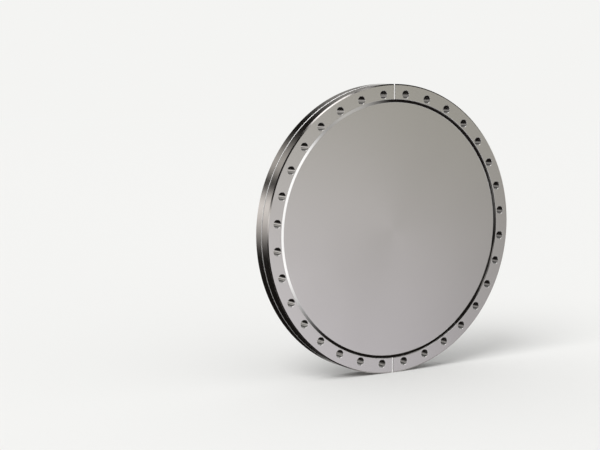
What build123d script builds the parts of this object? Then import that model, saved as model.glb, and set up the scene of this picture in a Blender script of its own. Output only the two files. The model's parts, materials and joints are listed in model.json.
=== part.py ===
from build123d import *
import math
import os

# DN250 CF blank flange, the 12 inch size of knife-edge vacuum flange, in millimetres.
#
# The flange stands on its rim: its axis runs along Y, the sealing side looks towards -Y,
# and the two leak-check grooves are at the top (+Z) and the bottom (-Z).
# The origin is on the axis, in the plane of the sealing-side bolting face.
# Depths are measured from that plane into the metal, along +Y.
#
# The real flange is turned from one forged stainless blank, drilled and slotted. It has no
# other piece, so it is one solid: nothing here stands for a part that could be taken off.

# Blank
OUTER_DIAMETER = 304.8
THICKNESS = 24.6
EDGE_CHAMFER = 1.2

# Bolt circle
BOLT_COUNT = 32
BOLT_CIRCLE_DIAMETER = 284.0
BOLT_HOLE_DIAMETER = 8.4
BOLT_HOLE_CHAMFER = 0.3

# Gasket recess and knife edge
RECESS_DIAMETER = 273.1
RECESS_EDGE_BREAK = 0.2
KNIFE_TIP_DIAMETER = 266.8
KNIFE_TIP_DEPTH = 0.65
KNIFE_SLOPE_DEGREES = 20.0
CENTRE_FACE_DEPTH = 1.5

# Leak-check grooves, from the gasket recess out through the rim.
# The slotting tool starts just inside the recess wall, where it is clear of the knife edge.
LEAK_GROOVE_WIDTH = 1.6
LEAK_GROOVE_DEPTH = 1.4
LEAK_GROOVE_ENTRY = 0.3
LEAK_GROOVE_ANGLES = (0.0, 180.0)

# Shallow round-bottomed line turned around the middle of the rim
RIM_LINE_WIDTH = 1.6
RIM_LINE_DEPTH = 0.5

# How far a cutting tool runs past the face or edge that it cuts through
TOOL_OVERRUN = 1.0

OUTER_RADIUS = OUTER_DIAMETER / 2
BOLT_CIRCLE_RADIUS = BOLT_CIRCLE_DIAMETER / 2
BOLT_HOLE_RADIUS = BOLT_HOLE_DIAMETER / 2
RECESS_RADIUS = RECESS_DIAMETER / 2
KNIFE_TIP_RADIUS = KNIFE_TIP_DIAMETER / 2


def turned_outline():
    """Half section of the turned blank, as a face in the XY plane: X is the radius, Y the depth."""
    knife_rise = (RECESS_RADIUS - KNIFE_TIP_RADIUS) * math.tan(math.radians(KNIFE_SLOPE_DEGREES))
    recess_depth = KNIFE_TIP_DEPTH + knife_rise
    rim_line_middle = THICKNESS / 2
    rim_line_start = rim_line_middle - RIM_LINE_WIDTH / 2
    rim_line_end = rim_line_middle + RIM_LINE_WIDTH / 2

    sealing_side = Polyline(
        (0, CENTRE_FACE_DEPTH),
        (KNIFE_TIP_RADIUS, CENTRE_FACE_DEPTH),
        (KNIFE_TIP_RADIUS, KNIFE_TIP_DEPTH),
        (RECESS_RADIUS, recess_depth),
        (RECESS_RADIUS, RECESS_EDGE_BREAK),
        (RECESS_RADIUS + RECESS_EDGE_BREAK, 0),
        (OUTER_RADIUS - EDGE_CHAMFER, 0),
        (OUTER_RADIUS, EDGE_CHAMFER),
        (OUTER_RADIUS, rim_line_start),
    )
    rim_line = ThreePointArc(
        (OUTER_RADIUS, rim_line_start),
        (OUTER_RADIUS - RIM_LINE_DEPTH, rim_line_middle),
        (OUTER_RADIUS, rim_line_end),
    )
    back_side = Polyline(
        (OUTER_RADIUS, rim_line_end),
        (OUTER_RADIUS, THICKNESS - EDGE_CHAMFER),
        (OUTER_RADIUS - EDGE_CHAMFER, THICKNESS),
        (0, THICKNESS),
        (0, CENTRE_FACE_DEPTH),
    )
    return make_face([sealing_side, rim_line, back_side])


def bolt_hole_cutter():
    """Drill for one bolt hole on the Y axis, with the cones that break both of its edges."""
    mouth_radius = BOLT_HOLE_RADIUS + BOLT_HOLE_CHAMFER
    section = make_face(
        Polyline(
            (0, -TOOL_OVERRUN),
            (mouth_radius, -TOOL_OVERRUN),
            (mouth_radius, 0),
            (BOLT_HOLE_RADIUS, BOLT_HOLE_CHAMFER),
            (BOLT_HOLE_RADIUS, THICKNESS - BOLT_HOLE_CHAMFER),
            (mouth_radius, THICKNESS),
            (mouth_radius, THICKNESS + TOOL_OVERRUN),
            (0, THICKNESS + TOOL_OVERRUN),
            close=True,
        )
    )
    return revolve(section, Axis.Y)


def bolt_hole_cutters():
    """All the bolt-hole drills. The holes straddle the vertical centre line of the flange."""
    pitch = 360.0 / BOLT_COUNT
    drill = Pos(0, 0, BOLT_CIRCLE_RADIUS) * bolt_hole_cutter()
    return [Rot(0, (index + 0.5) * pitch, 0) * drill for index in range(BOLT_COUNT)]


def leak_groove_cutters():
    """Square cutters for the radial grooves that let helium into the gasket recess."""
    inner_end = RECESS_RADIUS - LEAK_GROOVE_ENTRY
    outer_end = OUTER_RADIUS + TOOL_OVERRUN
    length = outer_end - inner_end
    height = LEAK_GROOVE_DEPTH + TOOL_OVERRUN
    middle_radius = (inner_end + outer_end) / 2
    middle_depth = LEAK_GROOVE_DEPTH - height / 2
    cutter = Pos(0, middle_depth, middle_radius) * Box(LEAK_GROOVE_WIDTH, height, length)
    return [Rot(0, angle, 0) * cutter for angle in LEAK_GROOVE_ANGLES]


def blank_flange():
    """The whole flange: turned, then drilled, then slotted."""
    flange = revolve(turned_outline(), Axis.Y)
    return flange - bolt_hole_cutters() - leak_groove_cutters()


os.makedirs("parts", exist_ok=True)
nodes = {"blank_flange": blank_flange()}
for name, shape in nodes.items():
    shape.label = name
    export_step(shape, f"parts/{name}.step")
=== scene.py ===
"""Looks of a DN250 CF blank flange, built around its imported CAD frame.

The flange stands on its rim with its axis along Y and its sealing side towards -Y.
All lengths are in metres, in the frame of the CAD model.
"""

import json
import math

import bmesh
import bpy
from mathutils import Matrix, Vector


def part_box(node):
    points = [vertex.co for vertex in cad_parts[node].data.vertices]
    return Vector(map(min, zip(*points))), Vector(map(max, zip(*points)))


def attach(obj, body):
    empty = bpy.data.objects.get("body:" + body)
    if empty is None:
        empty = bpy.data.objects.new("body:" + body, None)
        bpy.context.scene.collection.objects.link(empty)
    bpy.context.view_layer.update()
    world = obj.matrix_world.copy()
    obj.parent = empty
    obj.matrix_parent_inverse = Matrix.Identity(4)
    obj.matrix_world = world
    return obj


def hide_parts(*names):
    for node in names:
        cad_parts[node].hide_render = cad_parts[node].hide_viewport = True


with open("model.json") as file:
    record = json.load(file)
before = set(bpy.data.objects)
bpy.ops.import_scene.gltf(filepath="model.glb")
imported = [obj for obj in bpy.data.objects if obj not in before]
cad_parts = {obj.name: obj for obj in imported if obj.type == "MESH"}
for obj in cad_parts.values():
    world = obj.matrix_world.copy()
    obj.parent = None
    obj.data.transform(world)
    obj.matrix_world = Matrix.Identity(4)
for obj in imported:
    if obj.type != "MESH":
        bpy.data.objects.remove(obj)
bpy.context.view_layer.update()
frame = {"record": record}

MM = 0.001
NODE = "blank_flange"
BODY = "root"

# ---------------------------------------------------------------- sizes from the frame
node_low, node_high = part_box(NODE)
mounts = {mount["name"]: mount for mount in frame["record"]["mounts"]}
bolt_dims = mounts["bolt_holes"]["dims"]

OUTER_RADIUS = node_high.x
FRONT = node_low.y
BACK = node_high.y
FLOOR_HEIGHT = node_low.z
BOLT_COUNT = bolt_dims["count"]
BOLT_CIRCLE_RADIUS = bolt_dims["pcd_mm"] / 2 * MM
BOLT_HOLE_RADIUS = bolt_dims["hole_r_mm"] * MM

# ---------------------------------------------------------------- sizes of the turned details
EDGE_CHAMFER = 1.2 * MM
BOLT_HOLE_CHAMFER = 0.3 * MM
RECESS_RADIUS = 136.55 * MM
RECESS_EDGE_BREAK = 0.2 * MM
KNIFE_TIP_RADIUS = 133.4 * MM
KNIFE_TIP_DEPTH = 0.65 * MM
KNIFE_SLOPE = math.radians(20)
CENTRE_FACE_DEPTH = 1.5 * MM
LEAK_GROOVE_WIDTH = 1.6 * MM
LEAK_GROOVE_DEPTH = 1.4 * MM
LEAK_GROOVE_ENTRY = 0.3 * MM
RIM_LINE_WIDTH = 1.6 * MM
RIM_LINE_DEPTH = 0.5 * MM
CORNER_ROUNDING = 0.15 * MM
KNIFE_TIP_ROUNDING = 0.06 * MM
CUTTER_OVERRUN = 1 * MM

# ---------------------------------------------------------------- fineness of the mesh
SECTOR_SIDE = 12
SEGMENTS = BOLT_COUNT * SECTOR_SIDE
HOLE_SEGMENTS = 4 * SECTOR_SIDE
SECTOR_LOOPS = (0.12, 0.34, 0.64)
HOLE_WALL_STEPS = 6
ROUNDING_STEPS = 3
RIM_LINE_STEPS = 8
SHARP_ANGLE = math.radians(24)
STEEP_SLOPE = 1.5
FLAT_BEYOND_CORNER = 0.05 * MM
FLAT_FACE_WEIGHT = 100

# ---------------------------------------------------------------- camera and floor
# Angles in degrees, azimuth from -Y towards +X. The camera looks past the flange: the middle of
# the sealing side is to the right of the camera's axis, and a little below it.
LENS_MM = 85.0
SENSOR_MM = 36.0
CAMERA_AZIMUTH = -31.04
CAMERA_ELEVATION = 6.23
CAMERA_DISTANCE = 1.4864
FLANGE_RIGHT_OF_AXIS = 0.0984
FLANGE_BELOW_AXIS = 0.0051

FLOOR_RADIUS = 9.0
FLOOR_SEGMENTS = 96
FLOOR_FADE_START = 2.0
FLOOR_FADE_END = 8.0
FLOOR_ALBEDO = 0.8
BACKDROP_COLOUR = (0.905, 0.905, 0.89)


# ================================================================ outline of the turned flange
def rounded(points, radii):
    """The line through points, with each inner corner turned into a short arc of its own radius."""
    line = [points[0]]
    for before, corner, after, radius in zip(points, points[1:], points[2:], radii):
        corner = Vector(corner)
        back = (Vector(before) - corner).normalized()
        ahead = (Vector(after) - corner).normalized()
        half_angle = back.angle(ahead) / 2
        centre = corner + (back + ahead).normalized() * (radius / math.sin(half_angle))
        start = corner + back * (radius / math.tan(half_angle)) - centre
        end = corner + ahead * (radius / math.tan(half_angle)) - centre
        for step in range(ROUNDING_STEPS + 1):
            direction = start.slerp(end, step / ROUNDING_STEPS)
            line.append(tuple(centre + direction * radius))
    line.append(points[-1])
    return line


def recess_outline():
    """(radius, depth) from the centre face, over the knife edge, up to the bolting face."""
    recess_depth = KNIFE_TIP_DEPTH + (RECESS_RADIUS - KNIFE_TIP_RADIUS) * math.tan(KNIFE_SLOPE)
    corners = [
        (KNIFE_TIP_RADIUS - CORNER_ROUNDING - FLAT_BEYOND_CORNER, CENTRE_FACE_DEPTH),
        (KNIFE_TIP_RADIUS, CENTRE_FACE_DEPTH),
        (KNIFE_TIP_RADIUS, KNIFE_TIP_DEPTH),
        (RECESS_RADIUS, recess_depth),
        (RECESS_RADIUS, 0),
        (RECESS_RADIUS + RECESS_EDGE_BREAK + FLAT_BEYOND_CORNER, 0),
    ]
    radii = (CORNER_ROUNDING, KNIFE_TIP_ROUNDING, CORNER_ROUNDING, RECESS_EDGE_BREAK)
    return rounded(corners, radii)


def rim_edge_outline():
    """(radius, depth) from the bolting face, over the front chamfer, to the rim."""
    corners = [
        (OUTER_RADIUS - EDGE_CHAMFER - CORNER_ROUNDING, 0),
        (OUTER_RADIUS - EDGE_CHAMFER, 0),
        (OUTER_RADIUS, EDGE_CHAMFER),
        (OUTER_RADIUS, (BACK - FRONT) / 4),
    ]
    return rounded(corners, (CORNER_ROUNDING, CORNER_ROUNDING))


def rim_line_outline():
    """(radius, depth) across the round-bottomed line in the middle of the rim."""
    middle = (BACK - FRONT) / 2
    half_width = RIM_LINE_WIDTH / 2
    arc_radius = (half_width**2 + RIM_LINE_DEPTH**2) / (2 * RIM_LINE_DEPTH)
    half_angle = math.asin(half_width / arc_radius)
    arc_centre = OUTER_RADIUS - RIM_LINE_DEPTH + arc_radius
    line = []
    for step in range(RIM_LINE_STEPS + 1):
        angle = half_angle * (2 * step / RIM_LINE_STEPS - 1)
        radius = arc_centre - arc_radius * math.cos(angle)
        line.append((radius, middle + arc_radius * math.sin(angle)))
    return line


# ================================================================ mesh of the flange
class FlangeMesh:
    """Builds the flange as one closed mesh of rings, bolt-hole sectors and a centre grid."""

    FACE, KNIFE, WALL, CHAMFER, RIM, LINE, BORE, GROOVE = range(8)

    def __init__(self):
        self.bm = bmesh.new()

    def vert(self, radius, depth, turn):
        """A vertex at a radius and depth; turn runs clockwise from the top, in radians."""
        place = (radius * math.sin(turn), FRONT + depth, radius * math.cos(turn))
        return self.bm.verts.new(place)

    def ring(self, radius, depth):
        step = 2 * math.pi / SEGMENTS
        return [self.vert(radius, depth, index * step) for index in range(SEGMENTS)]

    def face(self, verts, material):
        made = self.bm.faces.new(verts)
        made.material_index = material
        made.smooth = True

    def bridge(self, first, second, material):
        """Quads between two closed loops of the same length."""
        count = len(first)
        for index in range(count):
            after = (index + 1) % count
            self.face((first[index], first[after], second[after], second[index]), material)

    def sweep(self, ring, outline, flat, steep):
        """Rings on from the given one along an outline. Returns the last ring.

        Bands that face along the axis get the flat material, and the others the steep one.
        """
        for before, after in zip(outline, outline[1:]):
            next_ring = self.ring(*after)
            is_steep = abs(after[1] - before[1]) > STEEP_SLOPE * abs(after[0] - before[0])
            self.bridge(ring, next_ring, steep if is_steep else flat)
            ring = next_ring
        return ring

    def centre_grid(self, edge_ring, depth, material):
        """Fills a ring with a square grid bent into a disc, whose border is the ring."""
        side = SEGMENTS // 4
        half = side // 2
        radius = edge_ring[0].co.z
        grid = {}
        for column in range(-half, half + 1):
            for row in range(-half, half + 1):
                reach = max(abs(column), abs(row))
                if reach == 0:
                    turn = 0.0
                elif abs(row) >= abs(column):
                    turn = math.pi / 4 * column / row + (math.pi if row < 0 else 0.0)
                else:
                    turn = math.pi / 2 - math.pi / 4 * row / column + (math.pi if column < 0 else 0.0)
                if reach == half:
                    grid[column, row] = edge_ring[round(turn / (2 * math.pi) * SEGMENTS) % SEGMENTS]
                else:
                    grid[column, row] = self.vert(radius * reach / half, depth, turn)
        for column in range(-half, half):
            for row in range(-half, half):
                corners = ((0, 0), (1, 0), (1, 1), (0, 1))
                self.face([grid[column + x, row + y] for x, y in corners], material)

    def bolt_circle(self, inner_ring, outer_ring, depth, mouth_radius):
        """Fills the band between two rings, leaving the bolt holes. Returns each hole's mouth."""
        pitch = 2 * math.pi / BOLT_COUNT
        inner_radius = inner_ring[0].co.z
        outer_radius = outer_ring[0].co.z
        spokes = []
        for sector in range(BOLT_COUNT):
            spoke = [inner_ring[sector * SECTOR_SIDE]]
            for step in range(1, SECTOR_SIDE):
                radius = inner_radius + (outer_radius - inner_radius) * step / SECTOR_SIDE
                spoke.append(self.vert(radius, depth, sector * pitch))
            spoke.append(outer_ring[sector * SECTOR_SIDE])
            spokes.append(spoke)

        mouths = []
        for sector in range(BOLT_COUNT):
            start = sector * SECTOR_SIDE
            span = [(start + step) % SEGMENTS for step in range(SECTOR_SIDE + 1)]
            near, far = spokes[sector], spokes[(sector + 1) % BOLT_COUNT]
            border = [outer_ring[index] for index in span[:-1]]
            border += far[:0:-1]
            border += [inner_ring[index] for index in reversed(span[1:])]
            border += near[:-1]
            mouths.append(self.sector(border, (sector + 0.5) * pitch, depth, mouth_radius))
        return mouths

    def sector(self, border, turn, depth, mouth_radius):
        """Loops of quads from a sector's border in to the mouth of its bolt hole."""
        mouth = self.hole_ring(turn, depth, mouth_radius)
        loops = [mouth]
        for share in SECTOR_LOOPS:
            loops.append(
                [self.bm.verts.new(a.co.lerp(b.co, share)) for a, b in zip(mouth, border)]
            )
        loops.append(border)
        for first, second in zip(loops, loops[1:]):
            self.bridge(first, second, self.FACE)
        return mouth

    def hole_ring(self, turn, depth, radius):
        """A ring around a bolt hole's axis, starting at the outer corner on the near side."""
        outward = Vector((math.sin(turn), 0, math.cos(turn)))
        across = Vector((math.cos(turn), 0, -math.sin(turn)))
        centre = outward * BOLT_CIRCLE_RADIUS + Vector((0, FRONT + depth, 0))
        ring = []
        for index in range(HOLE_SEGMENTS):
            angle = 2 * math.pi * index / HOLE_SEGMENTS - math.pi / 4
            place = centre + (outward * math.cos(angle) + across * math.sin(angle)) * radius
            ring.append(self.bm.verts.new(place))
        return ring

    def bolt_hole(self, front_mouth, back_mouth, turn):
        """The chamfered wall of one bolt hole, between its two mouths."""
        thickness = BACK - FRONT
        wall_length = thickness - 2 * BOLT_HOLE_CHAMFER
        loops = [front_mouth]
        for step in range(HOLE_WALL_STEPS + 1):
            depth = BOLT_HOLE_CHAMFER + wall_length * step / HOLE_WALL_STEPS
            loops.append(self.hole_ring(turn, depth, BOLT_HOLE_RADIUS))
        loops.append(back_mouth)
        for first, second in zip(loops, loops[1:]):
            self.bridge(first, second, self.BORE)

    def recess(self):
        """The knife edge and the gasket recess. Returns the first ring and the last."""
        outline = recess_outline()
        first = self.ring(*outline[0])
        return first, self.sweep(first, outline, self.KNIFE, self.WALL)

    def rim(self):
        """Both chamfers, the rim and its line. Returns the first ring and the last."""
        edge = rim_edge_outline()
        line = rim_line_outline()
        thickness = BACK - FRONT
        back_edge = [(radius, thickness - depth) for radius, depth in reversed(edge)]
        first = self.ring(*edge[0])
        ring = self.sweep(first, edge + line[:1], self.CHAMFER, self.RIM)
        ring = self.sweep(ring, line, self.LINE, self.LINE)
        return first, self.sweep(ring, line[-1:] + back_edge, self.CHAMFER, self.RIM)

    def build(self):
        """The whole closed surface, before the leak-check grooves are cut."""
        thickness = BACK - FRONT
        mouth_radius = BOLT_HOLE_RADIUS + BOLT_HOLE_CHAMFER
        centre_edge, recess_lip = self.recess()
        front_edge, back_edge = self.rim()
        back_inner = self.ring(RECESS_RADIUS, thickness)

        self.centre_grid(centre_edge, CENTRE_FACE_DEPTH, self.FACE)
        self.centre_grid(back_inner, thickness, self.FACE)
        front_mouths = self.bolt_circle(recess_lip, front_edge, 0, mouth_radius)
        back_mouths = self.bolt_circle(back_inner, back_edge, thickness, mouth_radius)
        pitch = 2 * math.pi / BOLT_COUNT
        for sector, (front_mouth, back_mouth) in enumerate(zip(front_mouths, back_mouths)):
            self.bolt_hole(front_mouth, back_mouth, (sector + 0.5) * pitch)
        bmesh.ops.recalc_face_normals(self.bm, faces=self.bm.faces[:])
        return self.bm


def mesh_object(name, bm):
    data = bpy.data.meshes.new(name)
    bm.to_mesh(data)
    bm.free()
    made = bpy.data.objects.new(name, data)
    bpy.context.scene.collection.objects.link(made)
    return made


def leak_groove_cutter(direction):
    """A box that cuts one leak-check groove: direction is 1 for the top and -1 for the bottom."""
    inner_end = RECESS_RADIUS - LEAK_GROOVE_ENTRY
    outer_end = OUTER_RADIUS + CUTTER_OVERRUN
    depth_low, depth_high = FRONT - CUTTER_OVERRUN, FRONT + LEAK_GROOVE_DEPTH
    bm = bmesh.new()
    bmesh.ops.create_cube(bm, size=1)
    size = Vector((LEAK_GROOVE_WIDTH, depth_high - depth_low, outer_end - inner_end))
    middle_height = direction * (inner_end + outer_end) / 2
    centre = Vector((0, (depth_low + depth_high) / 2, middle_height))
    for vert in bm.verts:
        vert.co = Vector(a * b for a, b in zip(vert.co, size)) + centre
    for face in bm.faces:
        face.material_index = FlangeMesh.GROOVE
    return mesh_object("leak_groove_cutter", bm)


def cut(piece, cutter):
    """Takes the cutter's volume out of the piece, and removes the cutter."""
    modifier = piece.modifiers.new("cut", "BOOLEAN")
    modifier.object = cutter
    modifier.operation = "DIFFERENCE"
    modifier.solver = "EXACT"
    evaluated = piece.evaluated_get(bpy.context.evaluated_depsgraph_get())
    result = bpy.data.meshes.new_from_object(evaluated)
    piece.modifiers.clear()
    piece.data = result
    bpy.data.objects.remove(cutter)


def make_flange(materials):
    """The visible flange, with one material for each way its surfaces were machined; the lighter steel of
    the knife edge, grooves and rim line is a painted highlight.

    It is hidden from glossy rays: its holes and its recess mirror the studio instead of their
    own far walls, which keeps them crisp and free of repeated reflections.
    """
    flange = mesh_object("flange_body", FlangeMesh().build())
    cutters = [leak_groove_cutter(1), leak_groove_cutter(-1)]
    for material in materials:
        flange.data.materials.append(material)
        for cutter in cutters:
            cutter.data.materials.append(material)
    for cutter in cutters:
        cut(flange, cutter)
    flange.data.shade_smooth()
    flange.data.set_sharp_from_angle(angle=SHARP_ANGLE)
    normals = flange.modifiers.new("flat_faces_keep_their_normals", "WEIGHTED_NORMAL")
    normals.mode = "FACE_AREA"
    normals.weight = FLAT_FACE_WEIGHT
    normals.keep_sharp = True
    flange.visible_glossy = False
    return flange


# ================================================================ node helpers
class Nodes:
    """Short names for building one node tree."""

    def __init__(self, tree):
        self.tree = tree
        tree.nodes.clear()

    def add(self, kind, inputs=None, **settings):
        node = self.tree.nodes.new(kind)
        for key, value in settings.items():
            setattr(node, key, value)
        for key, value in (inputs or {}).items():
            self.feed(node.inputs[key], value)
        return node

    def feed(self, socket, value):
        if isinstance(value, bpy.types.NodeSocket):
            self.tree.links.new(value, socket)
        else:
            socket.default_value = value

    def math(self, operation, first, second=0.0, clamp=False):
        inputs = {0: first, 1: second}
        return self.add("ShaderNodeMath", inputs, operation=operation, use_clamp=clamp).outputs[0]

    def wrap(self, value, low, high):
        """The value, moved by whole steps of high - low until it lies between the two."""
        return self.add("ShaderNodeMath", {0: value, 1: high, 2: low}, operation="WRAP").outputs[0]

    def spread(self, noise, low, high):
        """A noise value spread over low to high."""
        inputs = {0: noise, 1: NOISE_LOW, 2: NOISE_HIGH, 3: low, 4: high}
        return self.add("ShaderNodeMapRange", inputs).outputs[0]

    def ramp_down(self, value, start, end):
        """1 below start, 0 above end, and smooth between."""
        inputs = {0: value, 1: start, 2: end, 3: 1.0, 4: 0.0}
        node = self.add("ShaderNodeMapRange", inputs, interpolation_type="SMOOTHSTEP", clamp=True)
        return node.outputs[0]


# ================================================================ metal
NOISE_LOW, NOISE_HIGH = 0.3, 0.7
MARK_SHADES = (0.985, 1.015)
CLOUD_SCALE = 9.0
CLOUD_TINT = 1.03
CLOUD_ROUGHNESS = (0.9, 1.12)


def turned_metal(name, colour, roughness, anisotropy=0.0, metallic=1.0, mark_pitch=0.25, mark_height=0.4):
    """Stainless steel with fine tool marks that run round the flange's axis.

    mark_pitch is in millimetres and mark_height in thousandths of a millimetre. Slow clouds
    change the colour and the roughness a little from place to place.
    """
    material = bpy.data.materials.new(name)
    material.use_nodes = True
    nodes = Nodes(material.node_tree)

    place = nodes.add("ShaderNodeTexCoord").outputs["Object"]
    parts = nodes.add("ShaderNodeSeparateXYZ", {0: place}).outputs
    flat = nodes.add("ShaderNodeCombineXYZ", {"X": parts["X"], "Z": parts["Z"]}).outputs[0]
    radius = nodes.add("ShaderNodeVectorMath", {0: flat}, operation="LENGTH").outputs["Value"]

    # One coordinate across the marks; the other two change slowly along them.
    across = nodes.math("ADD", radius, parts["Y"])
    across = nodes.math("DIVIDE", across, mark_pitch * MM)
    along = nodes.add("ShaderNodeVectorMath", {0: flat}, operation="NORMALIZE").outputs[0]
    along = nodes.add("ShaderNodeSeparateXYZ", {0: along}).outputs
    track = nodes.add(
        "ShaderNodeCombineXYZ", {"X": across, "Y": along["X"], "Z": along["Z"]}
    ).outputs[0]
    marks = nodes.add("ShaderNodeTexNoise", {"Vector": track, "Scale": 1.0, "Detail": 3.0})
    cloud = nodes.add("ShaderNodeTexNoise", {"Vector": place, "Scale": CLOUD_SCALE, "Detail": 2.0})

    lighter = tuple(c * CLOUD_TINT for c in colour)
    tint = nodes.add(
        "ShaderNodeMix",
        {"Factor": cloud.outputs[0], "A": (*colour, 1), "B": (*lighter, 1)},
        data_type="RGBA",
    )
    shade = nodes.spread(marks.outputs[0], *MARK_SHADES)
    shaded = nodes.add(
        "ShaderNodeVectorMath", {0: tint.outputs["Result"], "Scale": shade}, operation="SCALE"
    ).outputs[0]
    rough = nodes.spread(cloud.outputs[0], *(roughness * share for share in CLOUD_ROUGHNESS))
    bump = nodes.add(
        "ShaderNodeBump",
        {"Strength": 1.0, "Distance": mark_height * 0.001 * MM, "Height": marks.outputs[0]},
    ).outputs[0]
    tangent = nodes.add("ShaderNodeTangent", direction_type="RADIAL", axis="Y").outputs[0]
    shader = nodes.add(
        "ShaderNodeBsdfPrincipled",
        {
            "Base Color": shaded,
            "Metallic": metallic,
            "Roughness": rough,
            "Anisotropic": anisotropy,
            "Normal": bump,
            "Tangent": tangent,
        },
    )
    nodes.add("ShaderNodeOutputMaterial", {"Surface": shader.outputs[0]})
    return material


def flange_materials():
    """In the order of FlangeMesh's material numbers.

    The bores, the grooves and the rim line are a little less than all metal, so that a share of
    the lamp's light shows in them.
    """
    satin = (0.62, 0.602, 0.592)
    # The knife edge's steel is lighter than the face's. This is a painted highlight, so the panels it
    # mirrors show white. Its low roughness is real polish.
    painted_highlight_steel = (0.86, 0.85, 0.84)
    stainless = (0.675, 0.645, 0.622)
    drilled = (0.6, 0.585, 0.57)
    # The rim line and the leak-check grooves are lighter than the other steel. This is a painted
    # highlight that shows them as pale lines. Their high roughness is their real milled finish.
    milled_painted_highlight = (0.84, 0.83, 0.82)
    return [
        turned_metal("turned_face", satin, 0.2, anisotropy=0.3),
        turned_metal("knife_edge", painted_highlight_steel, 0.08, mark_pitch=0.15),
        turned_metal("recess_wall", stainless, 0.12, mark_pitch=0.15),
        turned_metal("turned_chamfer", stainless, 0.14),
        turned_metal("turned_rim", stainless, 0.16, anisotropy=0.3),
        turned_metal("rim_line", milled_painted_highlight, 0.4, metallic=0.95),
        turned_metal("drilled_bore", drilled, 0.1, metallic=0.978),
        turned_metal("milled_groove", milled_painted_highlight, 0.5, metallic=0.948),
    ]


# ================================================================ studio
# Soft panels that the metal reflects. Azimuth is 0 in front of the sealing side (-Y) and 90 on
# the right (+X). Each has its span in azimuth and in elevation, between the half-bright lines of
# its edges, the softness of its left, right, lower and upper edges, all in degrees, then its
# strength and its tint.
WHITE = (1.0, 1.0, 1.0)
NEAR_WHITE = (1.0, 0.99, 0.98)
WARM_WHITE = (1.0, 0.975, 0.95)

# These show in the metal when it is seen from the front left, where the camera stands.
FRONT_PANELS = {
    "front_key": ((-14, 3), (-28, 24), (8, 9, 12, 6), 1.18, WHITE),
    "front_key_top": ((3, 12), (13, 24), (9, 8, 6, 6), 1.18, WHITE),
    "front_key_foot": ((3, 12), (-28, -20), (9, 8, 12, 6), 1.18, WHITE),
    "front_right": ((14, 36), (-27, -5.5), (10, 16, 8, 7), 1.15, (1.04, 1.015, 1.085)),
    "front_right_warm": ((18, 48), (-7, 12), (8, 6, 10, 8), 0.52, (1.0, 0.99, 0.86)),
    "front_right_high": ((12, 32.5), (20, 32.5), (8, 8, 5, 8), 0.73, (1.0, 0.985, 0.95)),
    "overhead": ((-38, 38), (56, 78), (8, 10, 5, 5), 1.7, WHITE),
    "left_strip_back": ((-166, -146.5), (-4, 11), (8, 2.5, 11, 5), 1.02, WARM_WHITE),
    "left_strip_middle": ((-145, -95), (7, 16), (2.5, 8, 4, 5), 0.36, WARM_WHITE),
    "left_strip_front": ((-95, -50), (-4, 10.5), (8, 6, 8, 5), 0.95, (1.0, 0.985, 0.97)),
    "left_high": ((-172, -146), (19, 28), (8, 8, 4, 5), 0.52, (1.0, 0.975, 0.93)),
    "right_strip": ((84, 166), (-3, 10.5), (10, 8, 8, 6), 0.66, (1.0, 1.0, 0.98)),
    "right_high": ((142, 168), (13, 30), (8, 10, 6, 6), 0.28, (1.0, 0.985, 0.95)),
}

# These show when it is seen from the right, the back, the sides or above. They are kept away from
# the directions that the camera sees mirrored.
FILL_PANELS = {
    "zenith": ((60, 140), (68, 91), (10, 10, 5, 1), 1.0, WHITE),
    "left_front_high": ((-43, -24), (14, 42), (6, 8, 8, 8), 0.6, WHITE),
    "left_front_low": ((-51, -26), (-46, -13), (4, 8, 8, 8), 0.85, NEAR_WHITE),
    "left_side_high": ((-112, -78), (30, 64), (8, 8, 10, 8), 0.45, NEAR_WHITE),
    "left_side_low": ((-112, -78), (-66, -34), (8, 8, 10, 8), 0.3, NEAR_WHITE),
    "right_side_high": ((76, 92), (18, 44), (6, 6, 8, 8), 0.32, NEAR_WHITE),
    "right_foot": ((90, 130), (-76, -40), (6, 10, 8, 8), 0.5, WHITE),
    "front_high": ((-14, 26), (44, 54), (8, 8, 4, 4), 0.6, WHITE),
    "front_foot": ((-20, 30), (-76, -58), (8, 8, 4, 8), 0.5, NEAR_WHITE),
    "back_high": ((134, 168), (46, 66), (8, 10, 6, 8), 0.5, NEAR_WHITE),
    "back_foot": ((150, 230), (-78, -58), (8, 8, 4, 8), 0.5, NEAR_WHITE),
    "back_key": ((162, 193), (-17, 4), (8, 6, 6, 6), 0.5, NEAR_WHITE),
    "back_left": ((-134, -108), (-25, -4), (6, 8, 8, 6), 0.5, NEAR_WHITE),
    "back_right": ((108, 139), (-36, -2), (8, 7, 8, 8), 0.5, NEAR_WHITE),
    "back_low": ((121, 152.5), (-25, -6), (8, 6, 8, 8), 0.42, (1.0, 0.99, 0.97)),
}
ROOM_GLOW = (0.0095, 0.0083, 0.0075)

# The sun and the lamp, as azimuth, elevation and width in degrees. The metal doesn't mirror them.
# The sun and the room's light bring the floor to the backdrop's tone, and the lamp shines on the
# flange alone.
SUN = (-62, 46, 36)
SUN_SHARE_OF_FLOOR_LIGHT = 0.36
LAMP = (-4, 22, 6)
LAMP_STRENGTH = 56.0


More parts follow.
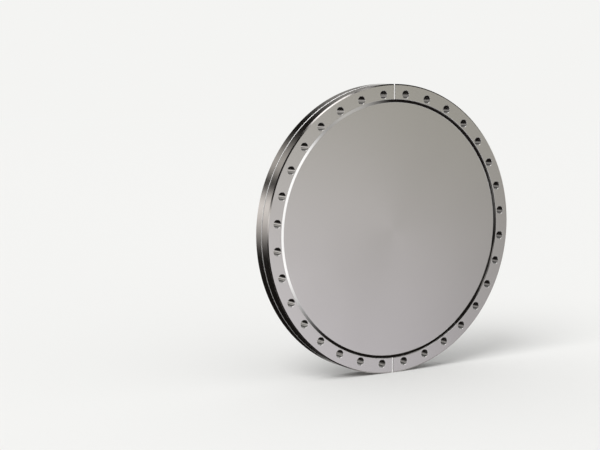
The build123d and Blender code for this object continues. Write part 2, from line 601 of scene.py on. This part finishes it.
def studio_panels(nodes):
    """The light from all the panels, by direction."""
    direction = nodes.add("ShaderNodeTexCoord").outputs["Generated"]
    parts = nodes.add("ShaderNodeSeparateXYZ", {0: direction}).outputs
    front = nodes.math("MULTIPLY", parts["Y"], -1.0)
    azimuth = nodes.math("ARCTAN2", parts["X"], front)
    elevation = nodes.math("ARCSINE", parts["Z"])

    light = nodes.add("ShaderNodeCombineXYZ", dict(enumerate(ROOM_GLOW))).outputs[0]
    panels = [*FRONT_PANELS.values(), *FILL_PANELS.values()]
    for azimuths, elevations, soft, strength, tint in panels:
        opposite = math.radians(sum(azimuths) / 2 + 180)
        turn = nodes.wrap(azimuth, opposite - 2 * math.pi, opposite)
        edges = (
            (turn, azimuths[0], -soft[0]),
            (turn, azimuths[1], soft[1]),
            (elevation, elevations[0], -soft[2]),
            (elevation, elevations[1], soft[3]),
        )
        mask = 1.0
        for angle, edge, reach in edges:
            start, end = math.radians(edge - reach), math.radians(edge + reach)
            mask = nodes.math("MULTIPLY", nodes.ramp_down(angle, start, end), mask)
        glow = nodes.add(
            "ShaderNodeVectorMath",
            {0: tuple(strength * c for c in tint), "Scale": mask},
            operation="SCALE",
        ).outputs[0]
        light = nodes.add("ShaderNodeVectorMath", {0: light, 1: glow}, operation="ADD").outputs[0]
    return light


def make_world(room_light):
    """A plain pale backdrop for the camera, even light for matt surfaces, panels for the metal."""
    world = bpy.data.worlds.new("studio")
    bpy.context.scene.world = world
    world.use_nodes = True
    nodes = Nodes(world.node_tree)
    backdrop = nodes.add("ShaderNodeBackground", {"Color": (*BACKDROP_COLOUR, 1)}).outputs[0]
    room = nodes.add("ShaderNodeBackground", {"Color": (1, 1, 1, 1), "Strength": room_light}).outputs[0]
    panels = nodes.add("ShaderNodeBackground", {"Color": studio_panels(nodes)}).outputs[0]
    path = nodes.add("ShaderNodeLightPath").outputs
    lit = nodes.add("ShaderNodeMixShader", {0: path["Is Diffuse Ray"], 1: panels, 2: room}).outputs[0]
    seen = nodes.add("ShaderNodeMixShader", {0: path["Is Camera Ray"], 1: lit, 2: backdrop}).outputs[0]
    nodes.add("ShaderNodeOutputWorld", {"Surface": seen})


def direction_to(azimuth, elevation):
    """The unit vector that points at an azimuth and elevation in degrees."""
    a, e = math.radians(azimuth), math.radians(elevation)
    return Vector((math.sin(a) * math.cos(e), -math.cos(a) * math.cos(e), math.sin(e)))


def make_sun(name, azimuth, elevation, width, strength):
    """A soft sun, in watts per square metre, that the metal doesn't mirror."""
    data = bpy.data.lights.new(name, "SUN")
    data.angle = math.radians(width)
    data.energy = strength
    sun = bpy.data.objects.new(name, data)
    bpy.context.scene.collection.objects.link(sun)
    sun.rotation_mode = "QUATERNION"
    sun.rotation_quaternion = direction_to(azimuth, elevation).to_track_quat("Z", "Y")
    sun.visible_glossy = False
    return sun


def make_light(flange):
    """The room, the sun that gives the soft shadow, and the lamp that looks into the holes."""
    floor_light = BACKDROP_COLOUR[0] / FLOOR_ALBEDO
    make_world(floor_light * (1 - SUN_SHARE_OF_FLOOR_LIGHT))
    sun_height = math.sin(math.radians(SUN[1]))
    make_sun("sun", *SUN, floor_light * SUN_SHARE_OF_FLOOR_LIGHT * math.pi / sun_height)
    lamp = make_sun("lamp", *LAMP, LAMP_STRENGTH)
    lit_by_lamp = bpy.data.collections.new("lit_by_lamp")
    lit_by_lamp.objects.link(flange)
    lamp.light_linking.receiver_collection = lit_by_lamp


def make_floor():
    """A pale floor under the rim. Far away it fades into the backdrop, so no horizon shows."""
    bm = bmesh.new()
    bmesh.ops.create_circle(bm, cap_ends=True, segments=FLOOR_SEGMENTS, radius=FLOOR_RADIUS)
    floor = mesh_object("floor", bm)
    floor.location.z = FLOOR_HEIGHT
    floor.visible_glossy = False

    material = bpy.data.materials.new("floor_paper")
    material.use_nodes = True
    nodes = Nodes(material.node_tree)
    place = nodes.add("ShaderNodeTexCoord").outputs["Object"]
    distance = nodes.add("ShaderNodeVectorMath", {0: place}, operation="LENGTH").outputs["Value"]
    near = nodes.ramp_down(distance, FLOOR_FADE_START, FLOOR_FADE_END)
    tone = [FLOOR_ALBEDO * c / BACKDROP_COLOUR[0] for c in BACKDROP_COLOUR]
    paper = nodes.add("ShaderNodeBsdfDiffuse", {"Color": (*tone, 1)}).outputs[0]
    haze = nodes.add("ShaderNodeEmission", {"Color": (*BACKDROP_COLOUR, 1)}).outputs[0]
    mixed = nodes.add("ShaderNodeMixShader", {0: near, 1: haze, 2: paper}).outputs[0]
    nodes.add("ShaderNodeOutputMaterial", {"Surface": mixed})
    floor.data.materials.append(material)


def make_camera():
    """A long lens a little left of the flange's axis and just above its centre."""
    data = bpy.data.cameras.new("camera")
    data.lens = LENS_MM
    data.sensor_width = SENSOR_MM
    camera = bpy.data.objects.new("camera", data)
    bpy.context.scene.collection.objects.link(camera)
    back = direction_to(CAMERA_AZIMUTH, CAMERA_ELEVATION)
    right = Vector((0, 0, 1)).cross(back).normalized()
    up = back.cross(right)
    centre = Vector((0, FRONT, 0))
    aside = up * FLANGE_BELOW_AXIS - right * FLANGE_RIGHT_OF_AXIS
    camera.location = centre + back * CAMERA_DISTANCE + aside
    camera.rotation_mode = "QUATERNION"
    camera.rotation_quaternion = back.to_track_quat("Z", "Y")
    bpy.context.scene.camera = camera


# ================================================================ scene
bpy.context.scene.view_settings.view_transform = "Standard"
flange = make_flange(flange_materials())
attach(flange, BODY)
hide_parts(NODE)

make_light(flange)
make_floor()
make_camera()
